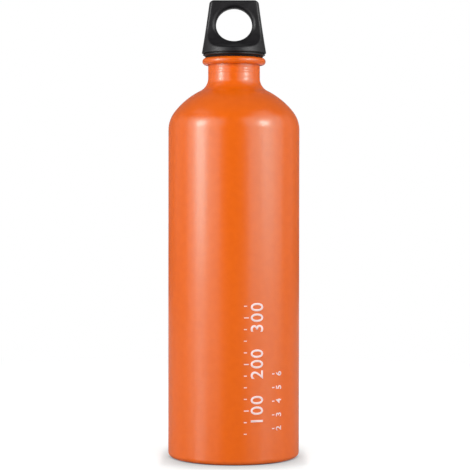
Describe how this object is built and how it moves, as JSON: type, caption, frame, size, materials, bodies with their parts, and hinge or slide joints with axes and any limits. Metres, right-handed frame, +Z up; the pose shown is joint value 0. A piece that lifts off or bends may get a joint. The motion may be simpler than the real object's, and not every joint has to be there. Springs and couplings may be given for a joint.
{
  "type": "camping fuel bottle",
  "caption": "Slim metal fuel bottle with rounded shoulder, rolled lip and black screw cap with a carrying loop; holds liquid fuel for a camping stove.",
  "frame": {"origin": "centre of the base, on the surface that the bottle stands on", "axes": "+Z up along the bottle's axis; the front faces -Y, so the hole of the carrying loop runs along Y; +X is to the right seen from the front"},
  "size_m": [0.073, 0.073, 0.2538],
  "materials": {
    "coated_metal": "satin orange powder coat over drawn aluminium",
    "bare_metal": "machined, bare",
    "black_plastic": "semi-matt moulded, black",
    "black_rubber": "matt, black"
  },
  "bodies": {
    "bottle": {"bottle_shell": "coated_metal", "neck_thread_ring": "bare_metal"},
    "gasket": {"cap_gasket": "black_rubber"},
    "cap": {"loop_cap": "black_plastic", "threaded_plug": "black_plastic"}
  },
  "joints": [
    {"name": "cap_rise", "type": "slide", "parent": "bottle", "child": "gasket", "axis": [0, 0, 1], "range_m": [0, 0.02]},
    {"name": "cap_turn", "type": "hinge", "parent": "gasket", "child": "cap", "pos_m": [0, 0, 0.223], "axis": [0, 0, 1], "range_deg": [0, 1800]}
  ],
  "couplings": [
    {"joint": "cap_rise", "follows": "cap_turn", "m_per_rad": 0.00063662}
  ]
}
